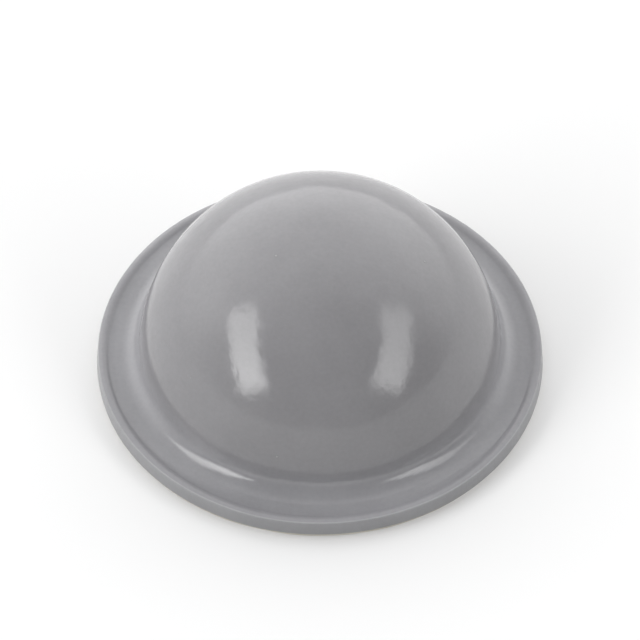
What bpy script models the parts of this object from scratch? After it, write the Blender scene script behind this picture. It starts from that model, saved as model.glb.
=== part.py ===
# Adhesive bumper foot: a solid elastomer dome on a thin round flange, stuck down by a film of adhesive.
# It stands on its adhesive face with +Z up. The origin is the centre of that face.
# All sizes are in metres.
import math

import bpy
from mathutils import Vector

# Driving dimensions of the moulded body
DOME_RADIUS = 0.00455        # the dome is half a ball that stands on the flange
BASE_FILLET = 0.0005         # hollow round where the dome runs out into the flange
LAND_WIDTH = 0.00027         # flat ring of flange between that fillet and the lip
LIP_WIDTH = 0.0003           # bead that the cutting die leaves along the edge
LIP_HEIGHT = 0.00005         # rise of the bead above the flange
FLANGE_THICKNESS = 0.0004    # moulded skin under the dome and out to the cut edge

# Driving dimensions of the adhesive
ADHESIVE_THICKNESS = 0.00015
ADHESIVE_SETBACK = 0.00008   # the film stops this far inside the cut edge

# Fineness of the turned shapes
TURN_STEPS = 64
DOME_STEPS = 18
FILLET_STEPS = 6
LIP_STEPS = 6

# Nearest that two points of a turned profile may come before they count as one
MERGE_DISTANCE = 0.000001

# Places that follow from the sizes
FLANGE_TOP = ADHESIVE_THICKNESS + FLANGE_THICKNESS
FILLET_CENTRE_RADIUS = math.sqrt((DOME_RADIUS + BASE_FILLET) ** 2 - BASE_FILLET ** 2)
LAND_OUTER_RADIUS = FILLET_CENTRE_RADIUS + LAND_WIDTH
CUT_RADIUS = LAND_OUTER_RADIUS + LIP_WIDTH
ADHESIVE_RADIUS = CUT_RADIUS - ADHESIVE_SETBACK

# Linear colour, roughness and metallic value of each material
ELASTOMER_LOOK = ((0.27, 0.27, 0.285, 1.0), 0.2, 0.0)
ADHESIVE_LOOK = ((0.66, 0.63, 0.55, 1.0), 0.35, 0.0)


def clear_scene():
    for obj in list(bpy.data.objects):
        bpy.data.objects.remove(obj, do_unlink=True)


def make_material(name, look):
    colour, roughness, metallic = look
    material = bpy.data.materials.new(name)
    material.use_nodes = True
    shader = material.node_tree.nodes["Principled BSDF"]
    shader.inputs["Base Color"].default_value = colour
    shader.inputs["Roughness"].default_value = roughness
    shader.inputs["Metallic"].default_value = metallic
    material.diffuse_color = colour
    return material


def dome_arc():
    """Points (radius, height) from the crown down to where the dome meets its fillet."""
    foot_angle = math.asin(BASE_FILLET / (DOME_RADIUS + BASE_FILLET))
    points = []
    for step in range(DOME_STEPS + 1):
        angle = math.pi / 2 + (foot_angle - math.pi / 2) * step / DOME_STEPS
        radius = DOME_RADIUS * math.cos(angle) if step else 0.0
        points.append((radius, FLANGE_TOP + DOME_RADIUS * math.sin(angle)))
    return points


def fillet_arc():
    """Points of the hollow round, from below the dome's last point to the flat of the flange."""
    start = math.pi + math.asin(BASE_FILLET / (DOME_RADIUS + BASE_FILLET))
    end = 1.5 * math.pi
    centre_height = FLANGE_TOP + BASE_FILLET
    points = []
    for step in range(1, FILLET_STEPS + 1):
        angle = start + (end - start) * step / FILLET_STEPS
        radius = FILLET_CENTRE_RADIUS + BASE_FILLET * math.cos(angle)
        points.append((radius, centre_height + BASE_FILLET * math.sin(angle)))
    return points


def lip_arch():
    """Points over the bead, from the end of the flat to the cut edge."""
    points = []
    for step in range(LIP_STEPS + 1):
        share = step / LIP_STEPS
        height = LIP_HEIGHT * math.sin(math.pi * share) if step < LIP_STEPS else 0.0
        points.append((LAND_OUTER_RADIUS + LIP_WIDTH * share, FLANGE_TOP + height))
    return points


def body_profile():
    """Half section of the moulded body, run from the crown down its outer side to the axis."""
    cut_edge = (CUT_RADIUS, ADHESIVE_THICKNESS)
    under_centre = (0.0, ADHESIVE_THICKNESS)
    return dome_arc() + fillet_arc() + lip_arch() + [cut_edge, under_centre]


def adhesive_profile():
    """Half section of the film, from the centre of its top face down to the origin."""
    return [
        (0.0, ADHESIVE_THICKNESS),
        (ADHESIVE_RADIUS, ADHESIVE_THICKNESS),
        (ADHESIVE_RADIUS, 0.0),
        (0.0, 0.0),
    ]


def turned(name, profile, material, collection):
    """Turns a half section about the Z axis into a closed solid."""
    mesh = bpy.data.meshes.new(name)
    vertices = [Vector((radius, 0.0, height)) for radius, height in profile]
    edges = [(index, index + 1) for index in range(len(profile) - 1)]
    mesh.from_pydata(vertices, edges, [])
    mesh.materials.append(material)
    obj = bpy.data.objects.new(name, mesh)
    collection.objects.link(obj)

    screw = obj.modifiers.new("Turn", "SCREW")
    screw.axis = "Z"
    screw.angle = 2 * math.pi
    screw.steps = TURN_STEPS
    screw.render_steps = TURN_STEPS
    screw.use_merge_vertices = True
    screw.merge_threshold = MERGE_DISTANCE
    screw.use_smooth_shade = True
    return obj


def build():
    clear_scene()
    collection = bpy.data.collections.new("adhesive_bumper_foot")
    bpy.context.scene.collection.children.link(collection)
    elastomer = make_material("grey_elastomer", ELASTOMER_LOOK)
    adhesive = make_material("clear_adhesive", ADHESIVE_LOOK)
    turned("bumper_body", body_profile(), elastomer, collection)
    turned("adhesive_film", adhesive_profile(), adhesive, collection)


build()
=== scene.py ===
import math

import bmesh
import bpy
from mathutils import Matrix, Vector, noise


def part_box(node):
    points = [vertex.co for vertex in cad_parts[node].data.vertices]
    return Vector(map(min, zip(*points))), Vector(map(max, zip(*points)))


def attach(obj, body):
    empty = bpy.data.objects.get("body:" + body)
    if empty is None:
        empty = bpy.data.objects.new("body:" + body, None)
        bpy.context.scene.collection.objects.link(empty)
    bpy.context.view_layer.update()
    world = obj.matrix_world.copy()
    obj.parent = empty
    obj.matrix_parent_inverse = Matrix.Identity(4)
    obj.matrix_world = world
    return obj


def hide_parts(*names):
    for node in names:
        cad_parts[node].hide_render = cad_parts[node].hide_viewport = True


# Looks of the adhesive bumper foot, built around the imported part.
# Everything is in metres, +Z up, and the foot stands on its adhesive face at the origin.

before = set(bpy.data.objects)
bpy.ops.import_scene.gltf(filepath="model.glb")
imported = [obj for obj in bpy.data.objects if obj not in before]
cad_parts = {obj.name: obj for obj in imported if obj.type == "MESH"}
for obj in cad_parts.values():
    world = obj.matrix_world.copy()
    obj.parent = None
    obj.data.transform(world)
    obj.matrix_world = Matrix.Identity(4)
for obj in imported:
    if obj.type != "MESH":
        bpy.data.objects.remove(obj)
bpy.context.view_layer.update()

# Sizes read from the frame
BODY_LOW, BODY_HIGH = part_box("bumper_body")
FILM_LOW, FILM_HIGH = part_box("adhesive_film")
CUT_RADIUS = BODY_HIGH.x
CROWN_HEIGHT = BODY_HIGH.z
BODY_BOTTOM = BODY_LOW.z
FILM_RADIUS = FILM_HIGH.x
FILM_TOP = FILM_HIGH.z
FILM_BOTTOM = FILM_LOW.z

# Named sizes of the moulded body, as in the part
FLANGE_THICKNESS = 0.0004
BASE_FILLET = 0.0005
LIP_WIDTH = 0.0003
LIP_HEIGHT = 0.00005

# Sizes that follow
FLANGE_TOP = BODY_BOTTOM + FLANGE_THICKNESS
DOME_RADIUS = CROWN_HEIGHT - FLANGE_TOP
FILLET_CENTRE_RADIUS = math.sqrt((DOME_RADIUS + BASE_FILLET) ** 2 - BASE_FILLET ** 2)
LAND_OUTER_RADIUS = CUT_RADIUS - LIP_WIDTH

# How a cast and die-cut foot departs from the perfect shape
EDGE_ROUNDING = 0.000035     # the cut edge isn't knife sharp
CUT_DRAFT = 0.000025         # the blade's slope leaves the top of the cut narrower
CUT_WAVER = 0.000016         # slow wander of the cut line
CUT_RAGGEDNESS = 0.000004    # fine roughness of the cut line
LIP_UNEVENNESS = 0.45        # share of the bead's height that comes and goes round the edge
CAST_WAVE = 0.000004         # slow waves in the cast surface
CAST_WAVE_RISE = 500.0       # how fast those waves change with height, per metre
LAND_SAG = 0.000008          # the flange's flat is a little hollow
LAND_SAG_UNEVENNESS = 0.5    # share of that hollow that comes and goes

# Adhesive film
FILM_EDGE_WAVER = 0.00003
FILM_EDGE_START = 0.97       # share of the film's radius outside which its edge wavers
FILM_EDGE_ROUNDING = 0.00003
BUBBLE_COUNT = 34
BUBBLE_DEPTH = 0.000022
BUBBLE_RADIUS_RANGE = (0.00009, 0.00026)
BUBBLE_REACH = 0.93          # share of the film's radius that they are spread over
GOLDEN_ANGLE = 3.0 - math.sqrt(5.0)   # in half turns

# Noise round the axis: its detail, and a seed that keeps it apart from the others
CUT_WAVER_NOISE = (1.7, 0.0)
CUT_RAGGED_NOISE = (38.0, 0.0)
LIP_UNEVEN_NOISE = (2.4, 5.0)
LIP_RAGGED_NOISE = (26.0, 9.0)
LAND_NOISE = (3.0, 2.0)
CAST_WAVE_NOISE = (1.4, 3.0)
FILM_EDGE_NOISE = (6.0, 4.0)

# Noise along the list of bubbles: the step from one to the next, and the row that is read
BUBBLE_TURN_NOISE = (3.7, 1.3, 0.4)
BUBBLE_SIZE_NOISE = (5.1, 7.7, 2.2)

# Fineness of the meshes
TURN_STEPS = 288
DOME_STEPS = 64
FILLET_STEPS = 16
LAND_STEPS = 5
LIP_STEPS = 14
ROUNDING_STEPS = 4
WALL_STEPS = 5
UNDERSIDE_STEPS = 4
FILM_RING_STEPS = 56
FLOOR_STEPS = 96
ON_AXIS = 1e-9               # a point of a half section nearer to the axis than this lies on it

# Colours, linear
DOME_COLOUR = (0.282, 0.278, 0.289, 1.0)
# Painted light: the flat flange gets a lighter grey than the dome, as if more light fell on it
FLANGE_PAINTED_LIGHT_COLOUR = (0.315, 0.313, 0.328, 1.0)
CUT_COLOUR = (0.36, 0.36, 0.372, 1.0)
ADHESIVE_COLOUR = (0.66, 0.63, 0.55, 1.0)
ADHESIVE_CLOUD_COLOUR = (0.72, 0.695, 0.62, 1.0)
DUST_COLOUR = (0.62, 0.61, 0.6, 1.0)
WHITE = (1.0, 1.0, 1.0, 1.0)

# Elastomer. Scales of noise are per metre, and relief is in metres.
PAINTED_FLANGE_LIGHT_FADE = (FLANGE_TOP + 0.00005, FLANGE_TOP + 0.0011)     # height over which the flange's painted lighter tone fades into the dome's grey
CUT_WALL = (CUT_RADIUS - 0.00009, CUT_RADIUS - 0.00004)      # radius at which cast turns into cut
MOTTLE_SCALE = 520.0
MOTTLE_CONTRAST = 0.26
GRAIN_SCALE = 9000.0
GRAIN_CONTRAST = 0.12
SMUDGE_SCALE = 260.0
SMUDGE_SPREAD = (0.35, 0.7)
CAST_ROUGHNESS = (0.09, 0.19)
CUT_EXTRA_ROUGHNESS = 0.3
SWELL_SCALE = 800.0
SWELL_RELIEF = 0.00002
PEEL_SCALE = 5200.0
PEEL_RELIEF = 0.000005
STREAK_SCALE = 7000.0
STREAK_STRETCH = (1.0, 1.0, 0.06)                            # the blade's marks run up and down
STREAK_RELIEF = 0.00001
BODY_DUST = (1900.0, 0.06, 0.82)                             # scale, size in cells, rarity
BODY_DUST_TINT = 0.25
DUST_EXTRA_ROUGHNESS = 0.3
DUST_RELIEF = 0.000012
SPECK_SMALLEST = 0.4                                         # the smallest speck, as a share of that size
SPECK_EDGE = (1.0, 0.3)                                      # share of its reach, from rim to core

# Adhesive
CLOUD_SCALE = 700.0
CLOUD_SPREAD = (0.35, 0.68)
CLOUD_RELIEF = 0.000015
TACKY_SPREAD = (0.3, 0.7)
TACKY_ROUGHNESS = (0.28, 0.5)
FIBRE_SCALE = 8000.0
FIBRE_STRETCH = (1.0, 0.6, 1.0)
FIBRE_RELIEF = 0.000003
FILM_DUST = (1500.0, 0.07, 0.75)
FILM_DUST_TINT = 0.6

# Camera, at the photograph's angle and distance
CAMERA_ELEVATION = math.radians(50.1)
CAMERA_DISTANCE = 0.417
CAMERA_CLIP = (0.01, 5.0)
FRAME_WIDTH = 2 * CUT_RADIUS / 0.7
SENSOR_WIDTH = 36.0
AIM_HEIGHT = 0.0018

# Lamps: two long soft panels that slope from high at the sides to low beside the camera
LIGHT_DISTANCE = 0.6
PANEL_TOP_AZIMUTH = math.radians(96.0)
PANEL_TOP_ELEVATION = math.radians(46.0)
PANEL_FOOT_AZIMUTH = math.radians(39.0)
PANEL_FOOT_ELEVATION = math.radians(11.0)
PANEL_HALF_WIDTH = math.radians(12.0)
PANEL_FADE = (0.5, 0.28)     # from the panel's edge inwards, as a share of its width from its middle
PANEL_FOOT_GAIN = 2.1
PANEL_TOP_GAIN = 1.0
LEFT_PANEL_RADIANCE = 3.15
RIGHT_PANEL_RADIANCE = 2.0

# Room: pale low down, dimmer overhead, at the sides and on the camera's side
ROOM_HORIZON = 0.49
ROOM_ZENITH = 0.19
ROOM_FLOOR = 0.8             # light from below, which only the underside sees
CAMERA_SIDE_DIMMING = 0.5
LOW_SIDE_DIMMING = 0.3
BACK_GLOW_LOW = 1.5          # light that the bright backdrop adds behind the foot
BACK_GLOW_HIGH = 0.87        # and overhead, where it curves over
BACK_GLOW_TURN = math.radians(9.0)   # the backdrop is brighter towards the left

# Where the room changes, along one axis of the direction looked in
ROOM_RISE = (0.05, 0.9)
CAMERA_SIDE_DEPTH = (0.1, -0.6)
CAMERA_SIDE_RISE = (0.04, 0.3)
LOW_SIDE_BREADTH = (0.35, 0.95)
LOW_SIDE_DROP = (0.5, 0.05)
BACK_GLOW_DEPTH = (-0.42, 0.5)
BACK_GLOW_DROP = (0.95, 0.3)
HORIZON = (-0.06, 0.0)

# Floor
FLOOR_RADIUS = 0.7
FLOOR_HOLE_RADIUS = FILM_RADIUS - 0.00005
FLOOR_GAP = 0.00002          # keeps the floor and the underside apart
FLOOR_FADE = (0.02, 0.16)    # radius over which the floor turns into plain white
FLOOR_OWN_WHITE = 0.15       # least share of plain white in the floor that the camera sees
FLOOR_SEEN_COLOUR = (0.94, 0.94, 0.94, 1.0)
FLOOR_BOUNCE_COLOUR = (0.28, 0.28, 0.28, 1.0)


def ring_noise(angle, kind, rise=0.0):
    """Smooth noise from -1 to 1 that closes on itself round the axis."""
    detail, seed = kind
    return noise.noise(Vector((math.cos(angle) * detail, math.sin(angle) * detail, rise + seed)))


def taken_off(angle, kind):
    """Smooth noise from -2 to 0, for what never reaches past the perfect shape."""
    return ring_noise(angle, kind) - 1.0


def row_noise(index, row):
    """Noise from -1 to 1 for each number of a list."""
    step, y, z = row
    return noise.noise(Vector((index * step, y, z)))


def arc(centre_radius, centre_height, radius, start, end, steps):
    """Points (radius, height) on an arc, the first left out."""
    points = []
    for step in range(1, steps + 1):
        angle = start + (end - start) * step / steps
        points.append((centre_radius + radius * math.cos(angle), centre_height + radius * math.sin(angle)))
    return points


def straight(start, end, steps):
    """Points on a straight line, the first left out."""
    return [
        (start[0] + (end[0] - start[0]) * step / steps, start[1] + (end[1] - start[1]) * step / steps)
        for step in range(1, steps + 1)
    ]


def lip_arch():
    """Points over the bead, up to where the cut edge's rounding starts."""
    bead_end = 1.0 - (EDGE_ROUNDING + CUT_DRAFT) / LIP_WIDTH
    points = []
    for step in range(1, LIP_STEPS + 1):
        share = bead_end * step / LIP_STEPS
        height = FLANGE_TOP + LIP_HEIGHT * math.sin(math.pi * share)
        points.append((LAND_OUTER_RADIUS + LIP_WIDTH * share, height))
    return points


def body_profile():
    """Half section of the body from its crown to the middle of its underside."""
    tangent_angle = math.asin(BASE_FILLET / (DOME_RADIUS + BASE_FILLET))
    points = [(0.0, CROWN_HEIGHT)]
    points += arc(0.0, FLANGE_TOP, DOME_RADIUS, math.pi / 2, tangent_angle, DOME_STEPS)
    points += arc(FILLET_CENTRE_RADIUS, FLANGE_TOP + BASE_FILLET, BASE_FILLET,
                  math.pi + tangent_angle, 1.5 * math.pi, FILLET_STEPS)
    points += straight(points[-1], (LAND_OUTER_RADIUS, FLANGE_TOP), LAND_STEPS)
    points += lip_arch()
    edge_radius, edge_height = points[-1]
    points += arc(edge_radius, edge_height - EDGE_ROUNDING, EDGE_ROUNDING, math.pi / 2, 0.0, ROUNDING_STEPS)
    points += straight(points[-1], (CUT_RADIUS, BODY_BOTTOM + EDGE_ROUNDING), WALL_STEPS)
    points += arc(CUT_RADIUS - EDGE_ROUNDING, BODY_BOTTOM + EDGE_ROUNDING, EDGE_ROUNDING,
                  0.0, -math.pi / 2, ROUNDING_STEPS)
    points += straight(points[-1], (0.0, BODY_BOTTOM), UNDERSIDE_STEPS)
    return points


def body_surface(radius, height, angle):
    """Where a point of the half section lies once the body is cast and cut."""
    if height <= BODY_BOTTOM and radius < LAND_OUTER_RADIUS:
        return radius, height
    to_edge = max(0.0, min(1.0, (radius - LAND_OUTER_RADIUS) / LIP_WIDTH))
    if to_edge > 0.0:
        return cut_edge_surface(radius, height, angle, to_edge)
    along_land = (radius - FILLET_CENTRE_RADIUS) / (LAND_OUTER_RADIUS - FILLET_CENTRE_RADIUS)
    if 0.0 < along_land < 1.0 and height < FLANGE_TOP + LIP_HEIGHT:
        uneven = 1.0 + LAND_SAG_UNEVENNESS * ring_noise(angle, LAND_NOISE)
        return radius, height - LAND_SAG * math.sin(math.pi * along_land) * uneven
    if radius > 0.0:
        return cast_surface(radius, height, angle)
    return radius, height


def cut_edge_surface(radius, height, angle, to_edge):
    """Uneven bead and wavering cut. The share to_edge grows to one at the cut edge."""
    waver = CUT_WAVER / 2 * taken_off(angle, CUT_WAVER_NOISE)
    ragged = CUT_RAGGEDNESS * taken_off(angle, CUT_RAGGED_NOISE)
    radius += (waver + ragged) * to_edge
    if height > FLANGE_TOP:
        bead = (height - FLANGE_TOP) * LIP_UNEVENNESS / 2
        height += bead * taken_off(angle, LIP_UNEVEN_NOISE)
        height += CUT_RAGGEDNESS * ring_noise(angle, LIP_RAGGED_NOISE) * to_edge
    return radius, height


def cast_surface(radius, height, angle):
    """Slow waves of the dome and its fillet, square to the dome."""
    detail, seed = CAST_WAVE_NOISE
    wave = ring_noise(angle, (detail * radius / DOME_RADIUS, seed), height * CAST_WAVE_RISE)
    sunk = CAST_WAVE * (wave - 1.0)
    outward = Vector((radius, height - FLANGE_TOP)).normalized()
    return radius + outward.x * sunk, height + outward.y * sunk


def film_profile():
    """Half section of the adhesive film from the middle of its top to the middle of its underside."""
    inner = FILM_RADIUS - FILM_EDGE_ROUNDING
    upper = FILM_TOP - FILM_EDGE_ROUNDING
    lower = FILM_BOTTOM + FILM_EDGE_ROUNDING
    points = [(0.0, FILM_TOP)]
    points += straight(points[0], (inner, FILM_TOP), UNDERSIDE_STEPS)
    points += arc(inner, upper, FILM_EDGE_ROUNDING, math.pi / 2, 0.0, ROUNDING_STEPS)
    points += straight(points[-1], (FILM_RADIUS, lower), ROUNDING_STEPS)
    points += arc(inner, lower, FILM_EDGE_ROUNDING, 0.0, -math.pi / 2, ROUNDING_STEPS)
    points += straight(points[-1], (0.0, FILM_BOTTOM), FILM_RING_STEPS)
    return points


def trapped_bubbles():
    """Places and radii of the air bubbles trapped under the film, spread by the golden angle."""
    low, high = BUBBLE_RADIUS_RANGE
    found = []
    for index in range(BUBBLE_COUNT):
        spread = BUBBLE_REACH * FILM_RADIUS * math.sqrt((index + 0.5) / BUBBLE_COUNT)
        angle = index * math.pi * GOLDEN_ANGLE + row_noise(index, BUBBLE_TURN_NOISE)
        chance = 0.5 + 0.5 * row_noise(index, BUBBLE_SIZE_NOISE)
        found.append((spread * math.cos(angle), spread * math.sin(angle), low + (high - low) * chance ** 2))
    return found


BUBBLES = trapped_bubbles()


def film_surface(radius, height, angle):
    """Where a point of the film's half section lies once it is cut and has trapped some air."""
    if radius > FILM_RADIUS * FILM_EDGE_START:
        radius += FILM_EDGE_WAVER / 2 * taken_off(angle, FILM_EDGE_NOISE)
    if height <= FILM_BOTTOM:
        x, y = radius * math.cos(angle), radius * math.sin(angle)
        for bubble_x, bubble_y, bubble_radius in BUBBLES:
            share = math.hypot(x - bubble_x, y - bubble_y) / bubble_radius
            if share < 1.0:
                height += BUBBLE_DEPTH * (1.0 - share * share) ** 2
    return radius, height


def flat_surface(radius, height, angle):
    """Leaves a point of a half section where it is."""
    return radius, height


def turned(name, profile, surface, material, steps=TURN_STEPS):
    """Turns a half section about the Z axis, each point put where surface says."""
    mesh_builder = bmesh.new()
    rings = []
    for radius, height in profile:
        if radius < ON_AXIS:
            rings.append([mesh_builder.verts.new((0.0, 0.0, surface(0.0, height, 0.0)[1]))])
            continue
        ring = []
        for step in range(steps):
            angle = 2 * math.pi * step / steps
            r, z = surface(radius, height, angle)
            ring.append(mesh_builder.verts.new((r * math.cos(angle), r * math.sin(angle), z)))
        rings.append(ring)
    for upper, lower in zip(rings, rings[1:]):
        for step in range(steps):
            after = (step + 1) % steps
            if len(upper) == 1:
                corners = (upper[0], lower[step], lower[after])
            elif len(lower) == 1:
                corners = (upper[step], lower[0], upper[after])
            else:
                corners = (upper[step], lower[step], lower[after], upper[after])
            mesh_builder.faces.new(corners).smooth = True
    mesh = bpy.data.meshes.new(name)
    mesh_builder.to_mesh(mesh)
    mesh_builder.free()
    mesh.materials.append(material)
    piece = bpy.data.objects.new(name, mesh)
    bpy.context.scene.collection.objects.link(piece)
    return piece


class Graph:
    """A tree of shader nodes being built, with a short call for each kind of node used here."""

    def __init__(self, tree):
        self.tree = tree

    def add(self, kind):
        return self.tree.nodes.new(kind)

    def feed(self, socket, value):
        """Gives a socket a number or colour, or links it to another node's output."""
        if isinstance(value, bpy.types.NodeSocket):
            self.tree.links.new(value, socket)
        else:
            socket.default_value = value

    def math(self, operation, *values, clamp=False):
        node = self.add("ShaderNodeMath")
        node.operation = operation
        node.use_clamp = clamp
        for socket, value in zip(node.inputs, values):
            self.feed(socket, value)
        return node.outputs[0]

    def mix_colour(self, factor, first, second):
        node = self.add("ShaderNodeMix")
        node.data_type = "RGBA"
        for socket, value in ((node.inputs[0], factor), (node.inputs[6], first), (node.inputs[7], second)):
            self.feed(socket, value)
        return node.outputs[2]

    def mix_shader(self, factor, first, second):
        node = self.add("ShaderNodeMixShader")
        for socket, value in zip(node.inputs, (factor, first, second)):
            self.feed(socket, value)
        return node.outputs[0]

    def ramp(self, value, span, ends=(0.0, 1.0)):
        """Smooth change from the first of ends to the second as value goes through span."""
        node = self.add("ShaderNodeMapRange")
        node.interpolation_type = "SMOOTHSTEP"
        node.inputs["From Min"].default_value, node.inputs["From Max"].default_value = span
        node.inputs["To Min"].default_value, node.inputs["To Max"].default_value = ends
        self.feed(node.inputs["Value"], value)
        return node.outputs["Result"]

    def split(self, vector):
        """X, Y and Z of a vector."""
        node = self.add("ShaderNodeSeparateXYZ")
        self.feed(node.inputs[0], vector)
        return node.outputs

    def stretch(self, vector, factors):
        node = self.add("ShaderNodeVectorMath")
        node.operation = "MULTIPLY"
        self.feed(node.inputs[0], vector)
        node.inputs[1].default_value = factors
        return node.outputs[0]

    def length(self, vector):
        node = self.add("ShaderNodeVectorMath")
        node.operation = "LENGTH"
        self.feed(node.inputs[0], vector)
        return node.outputs["Value"]

    def shade(self, colour, factor):
        """Colour times a grey factor."""
        node = self.add("ShaderNodeVectorMath")
        node.operation = "SCALE"
        self.feed(node.inputs[0], colour)
        self.feed(node.inputs["Scale"], factor)
        return node.outputs[0]

    def noise(self, place, scale, detail=3.0, roughness=0.55):
        node = self.add("ShaderNodeTexNoise")
        node.inputs["Scale"].default_value = scale
        node.inputs["Detail"].default_value = detail
        node.inputs["Roughness"].default_value = roughness
        self.feed(node.inputs["Vector"], place)
        return node.outputs["Fac"]

    def specks(self, place, kind):
        """Small round spots of mixed sizes, scattered: one in the middle of a chosen cell."""
        scale, size, rarity = kind
        cells = self.add("ShaderNodeTexVoronoi")
        cells.inputs["Scale"].default_value = scale
        self.feed(cells.inputs["Vector"], place)
        chances = self.add("ShaderNodeSeparateColor")
        self.feed(chances.inputs[0], cells.outputs["Color"])
        reach = self.math("MULTIPLY_ADD", chances.outputs[1], size, size * SPECK_SMALLEST)
        near = self.ramp(self.math("DIVIDE", cells.outputs["Distance"], reach), SPECK_EDGE)
        return self.math("MULTIPLY", near, self.math("GREATER_THAN", chances.outputs[0], rarity))

    def bump(self, height, relief, below=None):
        """Relief that high, on top of what lies below."""
        node = self.add("ShaderNodeBump")
        node.inputs["Distance"].default_value = relief
        self.feed(node.inputs["Height"], height)
        if below is not None:
            self.feed(node.inputs["Normal"], below)
        return node.outputs["Normal"]


def new_material(name):
    """An empty material, its graph and the output that shows its surface."""
    material = bpy.data.materials.new(name)
    material.use_nodes = True
    material.node_tree.nodes.clear()
    graph = Graph(material.node_tree)
    return material, graph, graph.add("ShaderNodeOutputMaterial").inputs[0]


def elastomer_material():
    """Smooth, glossy grey elastomer, duller where it is cut, with painted light: its flat flange is painted
    a lighter grey than the dome.
    """
    material, graph, surface = new_material("grey_elastomer_look")
    shader = graph.add("ShaderNodeBsdfPrincipled")
    graph.feed(surface, shader.outputs[0])
    place = graph.add("ShaderNodeTexCoord").outputs["Object"]
    from_axis = graph.length(graph.stretch(place, (1.0, 1.0, 0.0)))
    off_painted_flange = graph.ramp(graph.split(place)[2], PAINTED_FLANGE_LIGHT_FADE)
    cut_wall = graph.ramp(from_axis, CUT_WALL)
    dust = graph.specks(place, BODY_DUST)

    # Painted light: the flange is painted lighter than the dome, fading out with height above the flange
    colour = graph.mix_colour(off_painted_flange, FLANGE_PAINTED_LIGHT_COLOUR, DOME_COLOUR)
    colour = graph.mix_colour(cut_wall, colour, CUT_COLOUR)
    darkest = 1.0 - (MOTTLE_CONTRAST + GRAIN_CONTRAST) / 2
    mottle = graph.noise(place, MOTTLE_SCALE, detail=4.0)
    grain = graph.noise(place, GRAIN_SCALE, detail=2.0)
    tone = graph.math("MULTIPLY_ADD", mottle, MOTTLE_CONTRAST, darkest)
    tone = graph.math("MULTIPLY_ADD", grain, GRAIN_CONTRAST, tone)
    dust_cover = graph.math("MULTIPLY", dust, BODY_DUST_TINT)
    colour = graph.mix_colour(dust_cover, graph.shade(colour, tone), DUST_COLOUR)
    graph.feed(shader.inputs["Base Color"], colour)

    smudge = graph.noise(place, SMUDGE_SCALE, detail=5.0, roughness=0.6)
    roughness = graph.ramp(smudge, SMUDGE_SPREAD, CAST_ROUGHNESS)
    roughness = graph.math("MULTIPLY_ADD", cut_wall, CUT_EXTRA_ROUGHNESS, roughness)
    roughness = graph.math("MULTIPLY_ADD", dust, DUST_EXTRA_ROUGHNESS, roughness, clamp=True)
    graph.feed(shader.inputs["Roughness"], roughness)

    streaks = graph.noise(graph.stretch(place, STREAK_STRETCH), STREAK_SCALE)
    normal = graph.bump(graph.noise(place, SWELL_SCALE, detail=2.0), SWELL_RELIEF)
    normal = graph.bump(graph.noise(place, PEEL_SCALE), PEEL_RELIEF, below=normal)
    normal = graph.bump(graph.math("MULTIPLY", streaks, cut_wall), STREAK_RELIEF, below=normal)
    normal = graph.bump(dust, DUST_RELIEF, below=normal)
    graph.feed(shader.inputs["Normal"], normal)

    shader.inputs["Metallic"].default_value = 0.0
    shader.inputs["IOR"].default_value = 1.54
    shader.inputs["Subsurface Weight"].default_value = 0.25
    shader.inputs["Subsurface Radius"].default_value = (1.0, 0.95, 0.95)
    shader.inputs["Subsurface Scale"].default_value = 0.0006
    return material


def adhesive_material():
    """Pale, slightly cloudy adhesive with the print of the paper it was carried on."""
    material, graph, surface = new_material("clear_adhesive_look")
    shader = graph.add("ShaderNodeBsdfPrincipled")
    graph.feed(surface, shader.outputs[0])
    place = graph.add("ShaderNodeTexCoord").outputs["Object"]
    clouds = graph.noise(place, CLOUD_SCALE, detail=5.0, roughness=0.6)
    dust = graph.specks(place, FILM_DUST)

    colour = graph.mix_colour(graph.ramp(clouds, CLOUD_SPREAD), ADHESIVE_COLOUR, ADHESIVE_CLOUD_COLOUR)
    colour = graph.mix_colour(graph.math("MULTIPLY", dust, FILM_DUST_TINT), colour, CUT_COLOUR)
    graph.feed(shader.inputs["Base Color"], colour)
    graph.feed(shader.inputs["Roughness"], graph.ramp(clouds, TACKY_SPREAD, TACKY_ROUGHNESS))

    fibres = graph.noise(graph.stretch(place, FIBRE_STRETCH), FIBRE_SCALE, detail=4.0, roughness=0.7)
    normal = graph.bump(fibres, FIBRE_RELIEF)
    normal = graph.bump(clouds, CLOUD_RELIEF, below=normal)
    graph.feed(shader.inputs["Normal"], normal)

    shader.inputs["IOR"].default_value = 1.47
    shader.inputs["Subsurface Weight"].default_value = 0.35
    shader.inputs["Subsurface Radius"].default_value = (1.0, 0.95, 0.85)
    shader.inputs["Subsurface Scale"].default_value = 0.0004
    return material


def seen_ray(graph):
    """One for the rays that show the background: from the camera, mirrored or passing through."""
    path = graph.add("ShaderNodeLightPath")
    seen = graph.math("MAXIMUM", path.outputs["Is Camera Ray"], path.outputs["Is Glossy Ray"])
    return graph.math("MAXIMUM", seen, path.outputs["Is Transmission Ray"])


def floor_material():
    """White floor that keeps the foot's shadow and runs out into plain white.

    From below it can be seen through.
    """
    material, graph, surface = new_material("studio_floor")
    seen = seen_ray(graph)
    diffuse = graph.add("ShaderNodeBsdfDiffuse")
    graph.feed(diffuse.inputs["Color"], graph.mix_colour(seen, FLOOR_BOUNCE_COLOUR, FLOOR_SEEN_COLOUR))
    plain = graph.add("ShaderNodeEmission")
    plain.inputs["Color"].default_value = WHITE

    from_foot = graph.length(graph.add("ShaderNodeTexCoord").outputs["Object"])
    far = graph.ramp(from_foot, FLOOR_FADE, (FLOOR_OWN_WHITE, 1.0))
    plain_share = graph.math("MULTIPLY", far, seen)
    from_above = graph.mix_shader(plain_share, diffuse.outputs[0], plain.outputs[0])
    below = graph.add("ShaderNodeNewGeometry").outputs["Backfacing"]
    clear = graph.add("ShaderNodeBsdfTransparent").outputs[0]
    graph.feed(surface, graph.mix_shader(below, from_above, clear))
    return material


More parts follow.
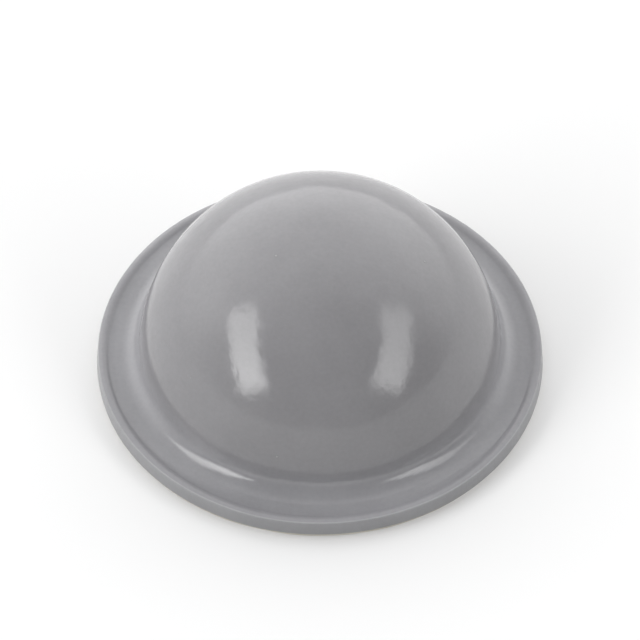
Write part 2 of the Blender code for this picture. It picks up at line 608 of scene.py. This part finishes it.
def make_floor():
    """Floor with a hole that the foot covers, so that its underside is lit in views from below."""
    profile = [(FLOOR_HOLE_RADIUS, 0.0), (FLOOR_RADIUS, 0.0)]
    floor = turned("studio_floor", profile, flat_surface, floor_material(), steps=FLOOR_STEPS)
    floor.location.z = -FLOOR_GAP


def back_glow(graph, sideways, behind, up):
    """Light of the bright backdrop, which stands behind the foot and curves over it."""
    towards_backdrop = graph.math(
        "ADD",
        graph.math("MULTIPLY", behind, math.cos(BACK_GLOW_TURN)),
        graph.math("MULTIPLY", sideways, -math.sin(BACK_GLOW_TURN)),
    )
    return graph.math(
        "MULTIPLY",
        graph.ramp(towards_backdrop, BACK_GLOW_DEPTH),
        graph.ramp(up, BACK_GLOW_DROP, (BACK_GLOW_HIGH, BACK_GLOW_LOW)),
    )


def kept_light(graph, first, second, dimming):
    """What is left of the light where two conditions meet and dim it."""
    return graph.math("MULTIPLY_ADD", graph.math("MULTIPLY", first, second), -dimming, 1.0)


def make_world():
    """Soft light from the whole room."""
    world = bpy.data.worlds.new("studio")
    bpy.context.scene.world = world
    world.use_nodes = True
    world.node_tree.nodes.clear()
    graph = Graph(world.node_tree)
    sideways, behind, up = graph.split(graph.add("ShaderNodeTexCoord").outputs["Generated"])

    camera_side = kept_light(
        graph,
        graph.ramp(behind, CAMERA_SIDE_DEPTH),
        graph.ramp(up, CAMERA_SIDE_RISE),
        CAMERA_SIDE_DIMMING,
    )
    low_side = kept_light(
        graph,
        graph.ramp(graph.math("ABSOLUTE", sideways), LOW_SIDE_BREADTH),
        graph.ramp(up, LOW_SIDE_DROP),
        LOW_SIDE_DIMMING,
    )
    room = graph.math("MULTIPLY", graph.ramp(up, ROOM_RISE, (ROOM_HORIZON, ROOM_ZENITH)), camera_side)
    light = graph.math("ADD", back_glow(graph, sideways, behind, up), room)
    light = graph.math("MULTIPLY", light, graph.ramp(up, HORIZON))
    light = graph.math("MULTIPLY", light, low_side)
    from_below = graph.ramp(up, HORIZON, (ROOM_FLOOR, 0.0))

    sky = graph.add("ShaderNodeBackground")
    sky.inputs["Color"].default_value = WHITE
    graph.feed(sky.inputs["Strength"], graph.math("ADD", light, from_below))
    graph.feed(graph.add("ShaderNodeOutputWorld").inputs[0], sky.outputs[0])


def direction(azimuth, elevation):
    """Unit vector; azimuth 0 is where the camera stands, and it grows to the right."""
    return Vector((
        math.sin(azimuth) * math.cos(elevation),
        -math.cos(azimuth) * math.cos(elevation),
        math.sin(elevation),
    ))


def soften(light):
    """Lets a panel fade towards its edges and grow brighter towards its foot."""
    light.use_nodes = True
    graph = Graph(light.node_tree)
    across, along, _ = graph.split(graph.add("ShaderNodeNewGeometry").outputs["Parametric"])
    fades = [
        graph.ramp(graph.math("ABSOLUTE", graph.math("SUBTRACT", share, 0.5)), PANEL_FADE)
        for share in (across, along)
    ]
    gain = graph.ramp(along, (0.0, 1.0), (PANEL_FOOT_GAIN, PANEL_TOP_GAIN))
    strength = graph.math("MULTIPLY", graph.math("MULTIPLY", *fades), gain)
    graph.feed(light.node_tree.nodes["Emission"].inputs["Strength"], strength)


def make_panel(name, top, foot, radiance):
    """Soft panel of light between two directions, with the power that gives it its radiance."""
    top, foot = top * LIGHT_DISTANCE, foot * LIGHT_DISTANCE
    light = bpy.data.lights.new(name, "AREA")
    light.shape = "RECTANGLE"
    light.size = 2 * LIGHT_DISTANCE * math.tan(PANEL_HALF_WIDTH)
    light.size_y = (top - foot).length
    light.energy = radiance * math.pi * light.size * light.size_y
    soften(light)
    lamp = bpy.data.objects.new(name, light)
    bpy.context.scene.collection.objects.link(lamp)
    lamp.location = (top + foot) / 2
    facing = lamp.location.normalized()
    across = (top - foot).cross(facing).normalized()
    lamp.rotation_euler = Matrix((across, facing.cross(across), facing)).transposed().to_euler()


def make_lights():
    """A panel on either side, the left one brighter."""
    for name, side, radiance in (
        ("left_panel", -1, LEFT_PANEL_RADIANCE),
        ("right_panel", 1, RIGHT_PANEL_RADIANCE),
    ):
        top = direction(side * PANEL_TOP_AZIMUTH, PANEL_TOP_ELEVATION)
        foot = direction(side * PANEL_FOOT_AZIMUTH, PANEL_FOOT_ELEVATION)
        make_panel(name, top, foot, radiance)


def make_camera():
    """Camera that looks down on the foot as the photograph does."""
    data = bpy.data.cameras.new("camera")
    data.sensor_width = SENSOR_WIDTH
    data.lens = SENSOR_WIDTH * CAMERA_DISTANCE / FRAME_WIDTH
    data.clip_start, data.clip_end = CAMERA_CLIP
    camera = bpy.data.objects.new("camera", data)
    bpy.context.scene.collection.objects.link(camera)
    aim = Vector((0.0, 0.0, AIM_HEIGHT))
    place = aim + direction(0.0, CAMERA_ELEVATION) * CAMERA_DISTANCE
    camera.location = place
    camera.rotation_euler = (aim - place).to_track_quat("-Z", "Y").to_euler()
    bpy.context.scene.camera = camera


def dress():
    """Puts the fine pieces in the places of the part's two solids."""
    foot = turned("domed_foot", body_profile(), body_surface, elastomer_material())
    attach(foot, "root")
    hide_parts("bumper_body")

    film = turned("sticky_film", film_profile(), film_surface, adhesive_material())
    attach(film, "root")
    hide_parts("adhesive_film")


dress()
make_floor()
make_world()
make_lights()
make_camera()
bpy.context.scene.view_settings.view_transform = "Standard"
